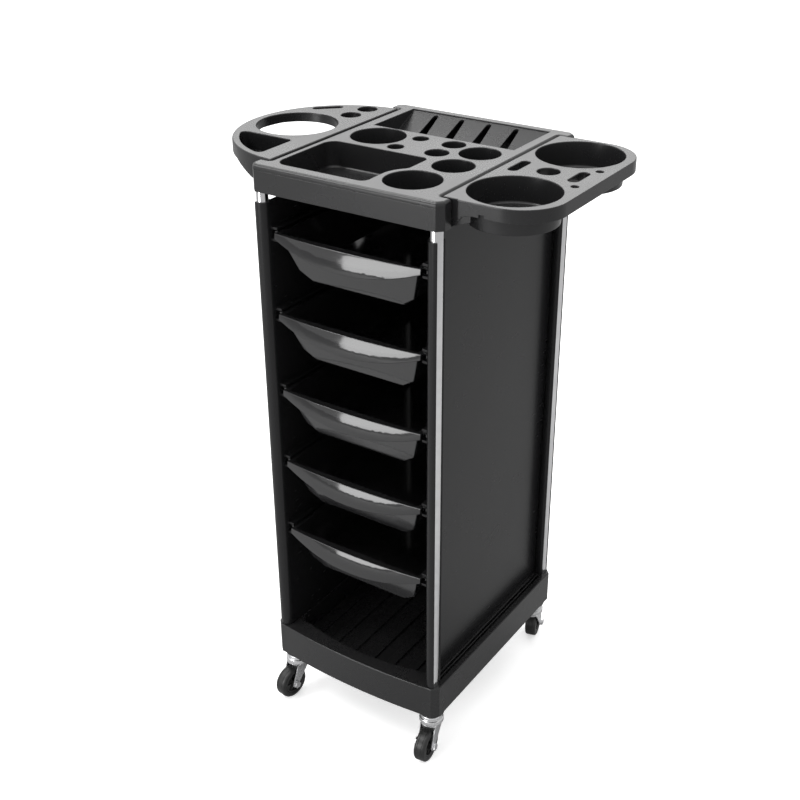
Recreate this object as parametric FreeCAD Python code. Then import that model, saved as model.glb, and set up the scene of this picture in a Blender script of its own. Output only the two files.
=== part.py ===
import FreeCAD, Part
import math
import os

# Salon trolley: a five-drawer cabinet between four chromed corner tubes, with a moulded
# top tray, two fold-down side wings, a base tray and four swivel casters.
# Millimetres. X to the right, front towards -Y, Z up, floor at Z = 0.
# The origin is on the floor under the middle of the cabinet.

os.makedirs("parts", exist_ok=True)

# ---------------------------------------------------------------- driving dimensions
overall_height = 860.0

body_width = 288.0          # top tray, across its corner blocks
body_depth = 345.0
corner_flat = 8.0           # the tray's corners are cut off by this much each way
base_corner_flat = 9.0
wall = 2.5

tray_skirt = 36.0           # height of the top tray's outer wall
deck_half_width = 127.5     # the deck between the wings
block_start = 148.5         # the corner blocks begin this far from the middle, front and back

tube_x = 132.0
tube_y = 163.0
tube_radius = 8.0
tube_wall = 1.0
tube_bottom = 108.0
tube_top = 850.0

base_width = 290.0
base_depth = 351.5
base_top = 135.0
base_bottom = 83.0
base_bow = 8.0              # how far the base's front bulges at its middle
base_floor = 101.0
hollow_top = 115.0           # top of the hollow under the base's rim

drawer_count = 5
drawer_pitch = 113.95
first_rim = 771.0           # height of the top drawer's rim
rim_half_width = 117.0
rim_front, rim_back = -160.0, 152.0
rim_edge = 10.2             # depth of the rolled edges that slide on the runners
lip_half_width = 112.0
runner_depth = (-162.0, 155.0)   # front and back ends of the drawer runners
runner_inner = 111.5
runner_height = 3.2
tube_clearance = 0.3

panel_outer = 124.0         # outer face of a side panel
panel_thickness = 2.5
panel_bottom = 119.0
panel_top = 838.0
wrap_bottom = 136.0         # the half-round edges that grip the tubes
wrap_top = 810.0

wing_gap = 3.0
wing_pivot_x = 139.0
wing_pivot_z = 834.0
wing_skirt = 17.0           # height of a wing's outer wall
wing_deep = 32.0            # and of its deeper part next to the hinge
wing_plate = 3.0            # thickness of a wing's top
socket_bottom = 848.0       # lower end of the walls round the wings' holes and slots
wing_half_depth = 147.5
wing_arm_inner = {-1: 138.0, 1: 141.0}   # inner faces of the arms, left and right wing
left_wing_radius = 145.5
left_wing_centre = -127.0
right_wing_reach = 262.5
right_wing_step = 151.0     # beyond this the right wing is wider: it clears the tray as it folds
right_wing_half_depth = 150.0
right_wing_corner = 61.0

wheel_radius = 25.0
wheel_width = 18.0
caster_x = 124.0
caster_y = 154.0
caster_trail = 18.0
# Direction in which each wheel trails behind its stem, in degrees from +X.
caster_heading = {
    "front_right": 276.0,
    "front_left": 262.0,
    "rear_right": 105.0,
    "rear_left": 60.0,
}

deck_top = overall_height
tray_bottom = deck_top - tray_skirt
half_width = body_width / 2
half_depth = body_depth / 2
wing_edge = deck_half_width + wing_gap

# Cups and holes of the top tray: x, y, radius, height of the floor (None: right through).
cup_floor = tray_bottom
tray_cups = [
    (-74.7, 16.1, 38.0, cup_floor),
    (67.5, -116.2, 37.1, cup_floor),
    (81.8, 19.6, 27.5, cup_floor),
    (80.3, -42.9, 27.5, cup_floor),
    (33.0, 35.0, 16.0, cup_floor),
    (33.0, -7.0, 16.0, cup_floor),
    (-19.0, 35.0, 11.0, None),
    (-27.0, -13.0, 11.0, None),
]
pocket_left, pocket_right = -117.0, 38.0
pocket_front, pocket_back = -154.0, -33.0
pocket_step = 22.0          # the pocket's right side keeps clear of the front cup
front_cup = tray_cups[1]
rack_left, rack_right = -110.0, 111.0
rack_front, rack_back = 56.0, 157.0
rack_slope_foot = 87.0      # the rack's floor ends here and its back slopes up
rack_slot_pitch = 43.5
rack_slot_middle = -3.9

wing_cup_x, wing_cup_y, wing_cup_radius = 191.7, 86.0, 57.7
wing_cup_floor = 826.0
dryer_ring = (-203.9, 4.7, 56.9)
dryer_ring_depth = 13.0


# ---------------------------------------------------------------- shape helpers
def vec(x, y, z=0.0):
    return FreeCAD.Vector(x, y, z)


def box(x0, x1, y0, y1, z0, z1):
    return Part.makeBox(x1 - x0, y1 - y0, z1 - z0, vec(x0, y0, z0))


def cylinder(x, y, z0, z1, radius):
    return Part.makeCylinder(radius, z1 - z0, vec(x, y, z0))


def cylinder_along_y(x, z, y0, y1, radius):
    return Part.makeCylinder(radius, y1 - y0, vec(x, y0, z), vec(0, 1, 0))


def prism(points, direction):
    wire = Part.makePolygon(points + [points[0]])
    return Part.Face(wire).extrude(direction)


def upright_prism(outline, z0, z1):
    return prism([vec(x, y, z0) for x, y in outline], vec(0, 0, z1 - z0))


def segment_plate(half_chord, y_chord, y_crown, z0, z1):
    """Plate between a straight chord along X and an arc that bulges to y_crown."""
    left, right = vec(-half_chord, y_chord, z0), vec(half_chord, y_chord, z0)
    arc = Part.Arc(right, vec(0, y_crown, z0), left).toShape()
    chord = Part.makeLine(left, right)
    return Part.Face(Part.Wire([chord, arc])).extrude(vec(0, 0, z1 - z0))


def fuse(shapes):
    return shapes[0].multiFuse(shapes[1:]) if len(shapes) > 1 else shapes[0]


def upright_edges(solid, wanted=None):
    """Vertical edges, or only those within 0.5 mm of the wanted x, y places."""
    found = []
    for edge in solid.Edges:
        ends = [v.Point for v in edge.Vertexes]
        if len(ends) < 2 or abs(ends[0].z - ends[1].z) < 1.0:
            continue
        if abs(ends[0].x - ends[1].x) > 0.01 or abs(ends[0].y - ends[1].y) > 0.01:
            continue
        near = wanted is None or any(
            math.hypot(ends[0].x - x, ends[0].y - y) < 0.5 for x, y in wanted
        )
        if near:
            found.append(edge)
    return found


def level_edges(solid, z):
    """Edges that lie wholly at height z."""
    return [
        e
        for e in solid.Edges
        if abs(e.BoundBox.ZMin - z) < 0.01 and abs(e.BoundBox.ZMax - z) < 0.01
    ]


def mouth_edges(solid, z, x0, x1, half_y):
    """Level edges at height z whose middle lies between x0 and x1 and within half_y."""
    return [
        e
        for e in level_edges(solid, z)
        if x0 < e.BoundBox.Center.x < x1 and abs(e.BoundBox.Center.y) < half_y
    ]


def is_round(edge):
    return isinstance(edge.Curve, Part.Circle) and len(edge.Vertexes) == 1


def rounded_box(x0, x1, y0, y1, z0, z1, radius):
    solid = box(x0, x1, y0, y1, z0, z1)
    return solid.makeFillet(radius, upright_edges(solid))


def cut_corner_box(half_x, half_y, z0, z1, flat, softening=1.5):
    """Upright block with its four corners cut off flat and the new edges softened."""
    solid = box(-half_x, half_x, -half_y, half_y, z0, z1)
    solid = solid.makeChamfer(flat, upright_edges(solid))
    return solid.makeFillet(softening, upright_edges(solid))


def cup_hollow(x, y, radius, floor, top, draft=2.0, bottom_round=3.0):
    """Tapered round hollow with a rounded bottom edge."""
    solid = Part.makeCone(radius - draft, radius, top - floor, vec(x, y, floor))
    return solid.makeFillet(bottom_round, level_edges(solid, floor))


def slot_hollow(x, y, length, width, angle, z0, z1):
    """Round-ended slot, its long side turned by angle from the X axis."""
    reach = (length - width) / 2
    body = box(-reach, reach, -width / 2, width / 2, z0, z1)
    ends = [cylinder(s * reach, 0, z0, z1, width / 2) for s in (-1, 1)]
    solid = fuse([body] + ends).removeSplitter()
    solid.rotate(vec(0, 0, 0), vec(0, 0, 1), angle)
    solid.translate(vec(x, y, 0))
    return solid


def mirrored_x(solid):
    return solid.mirror(vec(0, 0, 0), vec(1, 0, 0))


def save(name, shape):
    shape.exportStep("parts/" + name + ".step")


corners = [(sx, sy) for sx in (-1, 1) for sy in (-1, 1)]


def corner_name(sx, sy):
    return ("front" if sy < 0 else "rear") + ("_right" if sx > 0 else "_left")


# ---------------------------------------------------------------- top tray
def front_pocket_hollow(grow=0.0):
    """Deep pocket at the front left, its right side curved round the front cup."""
    cup_x, cup_y, cup_radius, _ = front_cup
    clear = cup_radius + 8.4 - grow
    solid = box(
        pocket_left - grow, pocket_right + grow,
        pocket_front - grow, pocket_back + grow,
        cup_floor - grow, deck_top + 1,
    )
    step = cup_x - clear
    solid = solid.cut(box(step, 100, -200, cup_y, 700, 900))
    solid = solid.cut(cylinder(cup_x, cup_y, 700, 900, clear))
    turn_y = cup_y + math.sqrt(clear ** 2 - (cup_x - pocket_right - grow) ** 2)
    places = [
        (pocket_left - grow, pocket_front - grow),
        (step, pocket_front - grow),
        (pocket_right + grow, turn_y),
        (pocket_right + grow, pocket_back + grow),
        (pocket_left - grow, pocket_back + grow),
    ]
    solid = solid.makeFillet(18.0 + grow, upright_edges(solid, places[:1] + places[4:]))
    solid = solid.makeFillet(10.0 + grow, upright_edges(solid, places[1:4]))
    return solid if grow else solid.makeFillet(4.0, level_edges(solid, cup_floor))


def rear_rack_hollow(grow=0.0):
    """Rear comb rack: a trough whose back slopes gently up to a small step in the deck."""
    top = deck_top + 1 if grow == 0 else deck_top - 2
    outline = [
        (rack_front - grow, top),
        (rack_front - grow, cup_floor - grow),
        (rack_slope_foot + grow, cup_floor - grow),
        (rack_back + grow, deck_top - 2.5 - grow),
        (rack_back + grow, top),
    ]
    points = [vec(rack_left - grow, y, z) for y, z in outline]
    return prism(points, vec(rack_right - rack_left + 2 * grow, 0, 0))


def rack_slots():
    """Four tapered slots through the sloping back of the rack."""
    slots = []
    for i in range(4):
        x = rack_slot_middle + (i - 1.5) * rack_slot_pitch
        outline = [(x - 7.5, 100), (x + 7.5, 100), (x + 4, 151), (x - 4, 151)]
        slots.append(upright_prism(outline, 815, 859))
        slots.append(cylinder(x, 151, 815, 859, 4))
    return slots


def make_top_tray():
    tray = cut_corner_box(half_width, half_depth, tray_bottom, deck_top, corner_flat)
    for side in (-1, 1):
        x0, x1 = sorted((side * deck_half_width, side * (half_width + 10)))
        tray = tray.cut(box(x0, x1, -block_start, block_start, 800, 900))
    recess_corners = [
        (sx * x, sy * block_start) for sx, sy in corners for x in (deck_half_width, half_width)
    ]
    tray = tray.makeFillet(3.5, upright_edges(tray, recess_corners))
    long_edges = [
        e for e in level_edges(tray, deck_top) if e.Length > 220 and e.BoundBox.YLength < 1
    ]
    tray = tray.makeFillet(5.0, long_edges)
    for sy in (-1, 1):
        y0, y1 = sorted((sy * (half_depth - 0.5), sy * (half_depth + 1)))
        reach = half_width - corner_flat - 2
        tray = tray.cut(box(-reach, reach, y0, y1, deck_top - 7.8, deck_top - 7.0))

    hollow = box(-deck_half_width + wall, deck_half_width - wall,
                 -half_depth + wall, half_depth - wall, tray_bottom - 1, deck_top - wall)
    for sx, sy in corners:
        x0, x1 = sorted((sx * 118, sx * 150))
        y0, y1 = sorted((sy * 148, sy * 180))
        hollow = hollow.cut(box(x0, x1, y0, y1, 800, 900))
    tray = tray.cut(hollow)

    bodies = [tray, front_pocket_hollow(2.0), rear_rack_hollow(2.0)]
    hollows = [front_pocket_hollow(), rear_rack_hollow()] + rack_slots()
    for x, y, radius, floor in tray_cups:
        bottom = deck_top - 14 if floor is None else floor - 2
        bodies.append(cylinder(x, y, bottom, deck_top - 1, radius + 2))
        if floor is None:
            hollows.append(cylinder(x, y, bottom - 1, deck_top + 1, radius))
        else:
            hollows.append(cup_hollow(x, y, radius, floor, deck_top + 1))
    # What the pocket's body keeps below the deck is trimmed level with it.
    above = box(-200, 200, -200, 200, deck_top, 900)
    tray = fuse(bodies).cut(above)
    for sx, sy in corners:
        hollows.append(cylinder(sx * tube_x, sy * tube_y, 800, tube_top, tube_radius))
        y0, y1 = sorted((sy * (block_start - 1), sy * 160))
        hollows.append(cylinder_along_y(sx * wing_pivot_x, wing_pivot_z, y0, y1, 2.5))
    tray = tray.cut(fuse(hollows)).removeSplitter()
    mouths = mouth_edges(tray, deck_top, -123, 123, 165)
    tray = tray.makeFillet(1.2, [e for e in mouths if is_round(e)])
    mouths = mouth_edges(tray, deck_top, -123, 123, 165)
    return tray.makeFillet(0.8, [e for e in mouths if not is_round(e)])


# ---------------------------------------------------------------- side wings
def wing_arms(side):
    """The two deep ends of a wing that reach down to its pivots."""
    arms = []
    for sy in (-1, 1):
        y0, y1 = sorted((sy * wing_arm_inner[side], sy * wing_half_depth))
        outline = [(139, 824), (168, 834), (168, 858), (131, 858), (131, 834)]
        flat = prism([vec(x, y0, z) for x, z in outline], vec(0, y1 - y0, 0))
        boss = cylinder_along_y(wing_pivot_x, wing_pivot_z, y0, y1, 10.0)
        arms.append(flat.fuse(boss))
    arms = fuse(arms)
    return arms if side > 0 else mirrored_x(arms)


def wing_pivot_holes(side):
    return [
        cylinder_along_y(side * wing_pivot_x, wing_pivot_z, y0, y0 + 14, 2.55)
        for y0 in (-149.0, 135.0)
    ]


def wing_bottom_cut(side, reach, rise):
    """Cuts a wing's skirt to its height, leaving it deeper next to the hinge."""
    skirt = deck_top - wing_skirt
    outline = [(320, 790), (320, skirt)] + rise + [(rise[-1][0], 790)]
    cut = prism([vec(x, -reach, z) for x, z in outline], vec(0, 2 * reach, 0))
    return cut if side > 0 else mirrored_x(cut)


def make_left_wing():
    bottom = deck_top - wing_deep
    disc = cylinder(left_wing_centre, 0, bottom, deck_top, left_wing_radius)
    wing = disc.common(box(-300, -wing_edge, -200, 200, 700, 900))
    wing = wing.makeFillet(2.2, level_edges(wing, deck_top))
    under = cylinder(left_wing_centre, 0, bottom - 1, deck_top - wing_plate,
                     left_wing_radius - wall)
    under = under.common(box(-300, -wing_edge - wall, -200, 200, 700, 900))
    wing = wing.cut(under)
    wing = wing.cut(wing_bottom_cut(-1, 160, [(208, deck_top - wing_skirt), (167, bottom)]))

    x, y, radius = dryer_ring
    ring_bottom = deck_top - dryer_ring_depth
    bowl_floor = 836.0
    bowl = cylinder(left_wing_centre, 0, bowl_floor, deck_top + 1, left_wing_radius - 10)
    bowl = bowl.common(box(-250, -160, -140, -62, bowl_floor, deck_top + 1))
    bowl = bowl.makeFillet(7.0, upright_edges(bowl))
    bowl_body = cylinder(left_wing_centre, 0, bowl_floor - 2, deck_top - 1, left_wing_radius - 8)
    bowl_body = bowl_body.common(box(-252, -158, -142, -60, bowl_floor - 2, deck_top - 1))
    holes = [(-167.0, 81.0, 14.2), (-165.0, 119.0, 14.2)]
    slot = (-218.0, 95.0, 44.0, 11.0, 43.0)
    within = cylinder(left_wing_centre, 0, 800, deck_top - 1, left_wing_radius)
    bodies = [
        wing,
        wing_arms(-1).common(within),
        cylinder(x, y, ring_bottom, deck_top - 1, radius + 2.5),
        bowl_body,
        slot_hollow(*slot[:2], slot[2] + 4, slot[3] + 4, slot[4], socket_bottom, deck_top - 1),
    ]
    bodies += [cylinder(hx, hy, socket_bottom, deck_top - 1, hr + 2) for hx, hy, hr in holes]
    cuts = [cylinder(x, y, 800, 900, radius), bowl]
    cuts += [cylinder(hx, hy, 840, 900, hr) for hx, hy, hr in holes]
    cuts.append(slot_hollow(*slot, 840, 900))
    cuts += wing_pivot_holes(-1)
    wing = fuse(bodies).cut(fuse(cuts)).removeSplitter()
    rim = left_wing_radius - 6
    mouths = [
        e
        for e in level_edges(wing, deck_top)
        if e.BoundBox.Center.x < -135
        and math.hypot(e.BoundBox.Center.x - left_wing_centre, e.BoundBox.Center.y) < rim
        and e.Length < 400
    ]
    return wing.makeFillet(1.2, mouths)


def right_wing_block(inset, z0, z1):
    """The right wing's outline, drawn in by inset, as an upright block."""
    half, step = right_wing_half_depth, right_wing_step
    outer = box(step, right_wing_reach - inset, -half + inset, half - inset, z0, z1)
    round_places = [(right_wing_reach - inset, s * (half - inset)) for s in (-1, 1)]
    outer = outer.makeFillet(right_wing_corner - inset, upright_edges(outer, round_places))
    neck_half = wing_half_depth - inset
    neck = box(wing_edge + inset, step + 1, -neck_half, neck_half, z0, z1)
    return outer.fuse(neck).removeSplitter()


def make_right_wing():
    bottom = deck_top - wing_deep
    wing = right_wing_block(0.0, bottom, deck_top)
    step = [(right_wing_step, s * y) for s in (-1, 1)
            for y in (right_wing_half_depth, wing_half_depth)]
    wing = wing.makeFillet(1.2, upright_edges(wing, step))
    wing = wing.makeFillet(1.1, level_edges(wing, deck_top))
    wing = wing.cut(right_wing_block(wall, bottom - 1, deck_top - wing_plate))
    skirt = deck_top - wing_skirt
    wing = wing.cut(wing_bottom_cut(1, 160, [(167, skirt), (157, skirt - 3), (147, bottom)]))
    notch = box(180, 187, -152, -145, skirt - 1, skirt + 4)

    cups = [(wing_cup_x, s * wing_cup_y) for s in (-1, 1)]
    hole = (190.5, 1.0, 14.5)
    slots = [(149.0, 2.0, 45.0, 13.0), (232.0, 1.0, 43.0, 14.0)]
    bodies = [wing, wing_arms(1)]
    cuts = [notch]
    for x, y in cups:
        bodies.append(Part.makeCone(56.0, 59.0, deck_top - 1 - 824, vec(x, y, 824)))
        cuts.append(cup_hollow(x, y, wing_cup_radius, wing_cup_floor, deck_top + 1, 3.5, 4.0))
    for x, y, length, width in slots:
        bodies.append(slot_hollow(x, y, length + 4, width + 4, 90.0, socket_bottom, deck_top - 1))
        cuts.append(slot_hollow(x, y, length, width, 90.0, 840, 900))
    x, y, radius = hole
    bodies.append(cylinder(x, y, socket_bottom, deck_top - 1, radius + 2))
    cuts.append(cylinder(x, y, 840, 900, radius))
    cuts += [cylinder(244.0, y, 840, 900, 4.8) for y in (-34.0, 34.0)]
    cuts += wing_pivot_holes(1)
    wing = fuse(bodies).cut(fuse(cuts))
    rings = [cylinder(x, y, wing_cup_floor - 1, wing_cup_floor + 1.4, 43.0).cut(
        cylinder(x, y, wing_cup_floor - 1, wing_cup_floor + 1.4, 41.0)) for x, y in cups]
    wing = fuse([wing] + rings).removeSplitter()
    return wing.makeFillet(1.2, mouth_edges(wing, deck_top, 133, 257, 146))


def make_wing_pins(side):
    """Two steel pins, pressed into the corner blocks, on which a wing turns."""
    pins = []
    for sy in (-1, 1):
        inner = wing_arm_inner[side]
        y0, y1 = sorted((sy * (inner - 1.5), sy * 155.5))
        h0, h1 = sorted((sy * (inner - 3.5), sy * (inner - 0.3)))
        shank = cylinder_along_y(side * wing_pivot_x, wing_pivot_z, y0, y1, 2.5)
        head = cylinder_along_y(side * wing_pivot_x, wing_pivot_z, h0, h1, 4.5)
        pins.append(shank.fuse(head).removeSplitter())
    return Part.makeCompound(pins)


# ---------------------------------------------------------------- base tray
def make_base_tray():
    front, back = -base_depth / 2, base_depth / 2
    half = base_width / 2
    chord = half - base_corner_flat - 1.5
    block = cut_corner_box(half, back, base_bottom, base_top, base_corner_flat)
    bow = segment_plate(chord, front + 0.5, front - base_bow, base_bottom, base_top)
    tray = block.fuse(bow).removeSplitter()
    tray = tray.makeFillet(1.5, level_edges(tray, base_top))

    basin_box = rounded_box(-118, 118, -150, 150, base_floor, base_top + 1, 16.0)
    basin_bow = segment_plate(103, -149, -163, base_floor, base_top + 1)
    basin = basin_box.fuse(basin_bow)
    basin_shell = rounded_box(-120.5, 120.5, -152.5, 152.5, base_floor - wall, base_top, 18.0)
    basin_shell = basin_shell.fuse(
        segment_plate(105, -151, -165.5, base_floor - wall, base_top)
    )

    under = box(-half + 3, half - 3, front + 3, back - 3, base_bottom - 1, hollow_top)
    under_bow = segment_plate(
        chord, front + 4, front - base_bow + 3, base_bottom - 1, hollow_top
    )
    under = under.fuse(under_bow)
    under = under.cut(basin_shell)
    for sx, sy in corners:
        x0, x1 = sorted((sx * 104, sx * 160))
        y0, y1 = sorted((sy * 134, sy * 190))
        under = under.cut(box(x0, x1, y0, y1, 70, 200))
    feet = [
        cylinder(sx * caster_x, sy * caster_y, 77, 90, 19.0) for sx, sy in corners
    ]
    ribs = [box(x - 7, x + 7, -146, 146, base_floor - 1, base_floor + 3)
            for x in (-102, -68, -34, 0, 34, 68, 102)]
    tray = fuse([tray] + feet).cut(under).cut(basin)
    tray = fuse([tray] + ribs)

    cuts = []
    for side in (-1, 1):
        for x0, x1, floor in ((121.2, 124.3, 118.0), (127.0, 131.0, 126.0), (132.3, 136.0, 126.0)):
            a, b = sorted((side * x0, side * x1))
            reach = 151.0 if floor > 120 else 164.0
            cuts.append(box(a, b, -reach, reach, floor, 140))
    cuts.append(box(-119, 119, 156.7, 159.8, 118, 140))
    for sx, sy in corners:
        x, y = sx * tube_x, sy * tube_y
        cuts.append(cylinder(x, y, tube_bottom, 140, tube_radius))
        cuts.append(cylinder(x, y, 70, 140, 2.2))
        cuts.append(cylinder(x, y, 70, 81.2, 4.3))
        cuts.append(cylinder(sx * caster_x, sy * caster_y, 70, 106, 7.0))
    tray = tray.cut(fuse(cuts)).removeSplitter()
    return tray.makeFillet(1.5, mouth_edges(tray, base_top, -119, 119, 156.2))


# ---------------------------------------------------------------- cabinet
def rim_height(i):
    return first_rim - i * drawer_pitch


def make_side_panel(side):
    """Flat panel with five pairs of runners and a half-round edge round each tube."""
    inner = panel_outer - panel_thickness
    plate = box(inner, panel_outer, -tube_y, tube_y, panel_bottom, panel_top)
    bodies = [plate]
    cuts = []
    for sy in (-1, 1):
        y = sy * tube_y
        ring = cylinder(tube_x, y, wrap_bottom, wrap_top, 10.6)
        mouth = [(tube_x, y)]
        for angle in (-53, 0, 50):
            a = math.radians(angle)
            mouth.append((tube_x + 20 * math.cos(a), y - sy * 20 * math.sin(a)))
        bodies.append(ring.cut(upright_prism(mouth, 100, 900)))
        cuts.append(cylinder(tube_x, y, 0, 900, tube_radius + tube_clearance))
        y0, y1 = sorted((sy * 145, sy * 170))
        cuts.append(box(inner - 1, panel_outer + 1, y0, y1, wrap_top + 2, 900))
    front, back = runner_depth
    for i in range(drawer_count):
        above = rim_height(i) + 2.5
        below = rim_height(i) - rim_edge - 0.3 - runner_height
        top = above + runner_height
        bodies.append(box(runner_inner, inner + 0.1, front, back, above, top))
        bodies.append(box(runner_inner, inner + 0.1, front, back, below, below + runner_height))
        bodies.append(box(runner_inner, inner + 0.1, back - 2.5, back, below, top))
    panel = fuse(bodies).cut(fuse(cuts)).removeSplitter()
    return panel if side > 0 else mirrored_x(panel)


def make_back_panel():
    return box(-117.7, 117.7, 157.0, 159.5, panel_bottom, panel_top)


def make_tube(sx, sy):
    x, y = sx * tube_x, sy * tube_y
    outer = cylinder(x, y, tube_bottom, tube_top, tube_radius)
    return outer.cut(cylinder(x, y, tube_bottom, tube_top, tube_radius - tube_wall))


def make_tube_plugs():
    """Plastic plugs in the tubes' lower ends, which the base screws bite into."""
    plugs = []
    for sx, sy in corners:
        x, y = sx * tube_x, sy * tube_y
        plug = cylinder(x, y, tube_bottom, tube_bottom + 22, tube_radius - tube_wall)
        plugs.append(plug.cut(cylinder(x, y, tube_bottom, tube_bottom + 22, 2.0)))
    return Part.makeCompound(plugs)


def make_tube_screws():
    """One screw up through the base into each tube's plug."""
    screws = []
    for sx, sy in corners:
        x, y = sx * tube_x, sy * tube_y
        head = cylinder(x, y, 78, 81.2, 4.1)
        head = head.cut(box(x - 2.5, x + 2.5, y - 0.5, y + 0.5, 77, 79.2))
        head = head.cut(box(x - 0.5, x + 0.5, y - 2.5, y + 2.5, 77, 79.2))
        screws.append(head.fuse(cylinder(x, y, 81.0, tube_bottom + 18, 2.0)).removeSplitter())
    return Part.makeCompound(screws)


# ---------------------------------------------------------------- drawers
def tub(inset, top):
    """Tapered drawer body below a rim at height 0, drawn in by inset."""
    outline = [
        (108.0 - inset, top),
        (90.0 - inset, -52.5 + 0.4 * inset),
        (70.0 - 0.6 * inset, -66.0 + inset),
    ]
    slope = 18.0 / 52.5
    outline[0] = (108.0 - inset + slope * top, top)
    outline += [(-x, z) for x, z in reversed(outline)]
    solid = prism([vec(x, -200, z) for x, z in outline], vec(0, 400, 0))
    lean = 21.0 / 66.0
    front = [(-165 + inset - lean * top, top), (-144 + inset, -66.0), (-144 + inset, -90.0),
             (-250, -90.0), (-250, top + 1), (-165 + inset - lean * top, top + 1)]
    back = [(150 - inset, top + 1), (150 - inset, top), (143 - inset, -66.0),
            (143 - inset, -90.0), (250, -90.0), (250, top + 1)]
    for side in (front, back):
        solid = solid.cut(prism([vec(-150, y, z) for y, z in side], vec(300, 0, 0)))
    return solid


def lip_band(z, half_chord, y_ends, y_crown, thickness):
    """Closed wire of a curved strip seen from above."""
    points = [
        (vec(-half_chord, y_ends, z), vec(0, y_crown, z), vec(half_chord, y_ends, z)),
        (vec(half_chord, y_ends + thickness, z), vec(0, y_crown + thickness, z),
         vec(-half_chord, y_ends + thickness, z)),
    ]
    outer, inner = [Part.Arc(*p).toShape() for p in points]
    close_right = Part.makeLine(points[0][2], points[1][0])
    close_left = Part.makeLine(points[1][2], points[0][0])
    return Part.Wire([outer, close_right, inner, close_left])


def drawer_lip():
    """Bowed crescent front that serves as the handle."""
    upper = lip_band(0.0, lip_half_width, -167.0, -174.5, 3.0)
    belly = lip_band(-15.0, lip_half_width, -168.3, -179.2, 3.0)
    lower = lip_band(-30.0, lip_half_width, -168.0, -180.0, 3.0)
    band = Part.makeLoft([upper, belly, lower], True, False)
    reach = lip_half_width + 1
    top = Part.makeLine(vec(-reach, -200, 1), vec(reach, -200, 1))
    right = Part.makeLine(vec(reach, -200, 1), vec(reach, -200, -8))
    curve = Part.Arc(vec(reach, -200, -8), vec(0, -200, -28), vec(-reach, -200, -8)).toShape()
    left = Part.makeLine(vec(-reach, -200, -8), vec(-reach, -200, 1))
    crescent = Part.Face(Part.Wire([top, right, curve, left])).extrude(vec(0, 60, 0))
    return band.common(crescent)


def rounded_drawer(solid):
    """Soft edges, as moulded: the tub's corners, the lip and the rim."""
    def pick(test):
        return [e for e in solid.Edges if test(e.BoundBox, e.Length)]

    def level(b, z):
        return abs(b.ZMin - z) < 0.1 and abs(b.ZMax - z) < 0.1

    solid = solid.makeFillet(3.0, pick(lambda b, n: level(b, -66.0) or level(b, -52.5)))
    solid = solid.makeFillet(2.0, pick(
        lambda b, n: b.ZMin < -40 and b.ZMax < -2 and b.ZLength > 8 and abs(b.Center.y) > 100))
    solid = solid.makeFillet(1.1, pick(
        lambda b, n: abs(b.ZMin + 28) < 0.2 and -9 < b.ZMax < -8 and n > 200))
    solid = solid.makeFillet(1.2, pick(lambda b, n: level(b, 0.0) and b.YMax < -160 and n > 215))
    return solid.makeFillet(0.8, pick(lambda b, n: level(b, 0.0) and n > 200 and (
        b.XMax > rim_half_width - 0.1 or b.XMin < 0.1 - rim_half_width
        or (b.XMax < 107 and b.XMin > -107 and abs(b.Center.y) < 163))))


def make_drawer():
    rim = box(-rim_half_width, rim_half_width, rim_front, rim_back, -2.5, 0)
    edges = []
    for side in (-1, 1):
        x0, x1 = sorted((side * (rim_half_width - 2.2), side * rim_half_width))
        edges.append(box(x0, x1, rim_front + 2, rim_back, -rim_edge, 0))
    front = Part.Face(lip_band(-2.5, lip_half_width, -167.0, -174.5, 16.0))
    solid = fuse([tub(0.0, 0.0), rim, front.extrude(vec(0, 0, 2.5)), drawer_lip()] + edges)
    return rounded_drawer(solid.cut(tub(2.2, 1.0)).removeSplitter())


# ---------------------------------------------------------------- casters
def placed_caster(solid, sx, sy):
    """Turn a caster piece from its own frame (trail along +X) to its place on the base."""
    solid = solid.copy()
    solid.rotate(vec(0, 0, 0), vec(0, 0, 1), caster_heading[corner_name(sx, sy)])
    solid.translate(vec(sx * caster_x, sy * caster_y, 0))
    return solid


def caster_stem():
    """Grip stem with the fixed upper race and the riveted kingpin, in one turned piece."""
    stem = cylinder(0, 0, 73, 104, 5.5)
    stem = stem.makeChamfer(1.5, level_edges(stem, 104))
    groove = cylinder(0, 0, 94, 97, 7.0).cut(cylinder(0, 0, 94, 97, 4.7))
    flange = cylinder(0, 0, 73.2, 76.8, 13.0)
    kingpin = cylinder(0, 0, 56, 74, 3.9)
    rivet = cylinder(0, 0, 54.5, 56.8, 6.5)
    return fuse([stem.cut(groove), flange, kingpin, rivet]).removeSplitter()


def caster_sleeve():
    """Plastic socket pressed into the base, which grips the stem."""
    return cylinder(0, 0, 77, 106, 7.0).cut(cylinder(0, 0, 76, 105, 5.5))


def caster_cap():
    """Two-step pressed dome over the ball race, turning with the fork."""
    lower = cylinder(0, 0, 60, 67, 18.0)
    lower = lower.makeFillet(2.0, level_edges(lower, 67))
    upper = cylinder(0, 0, 66, 72.6, 15.5)
    upper = upper.makeFillet(2.5, level_edges(upper, 72.6))
    hollow = cylinder(0, 0, 60, 70.6, 13.5)
    bore = cylinder(0, 0, 55, 80, 6.2)
    return lower.fuse(upper).cut(hollow).cut(bore).removeSplitter()


def caster_balls():
    """Ring of steel balls between the fork and the cap."""
    count = 14
    pitch_radius = 10.0
    balls = []
    for i in range(count):
        a = 2 * math.pi * i / count
        place = vec(pitch_radius * math.cos(a), pitch_radius * math.sin(a), 62.2)
        balls.append(Part.makeSphere(2.0, place))
    return Part.makeCompound(balls)


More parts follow.
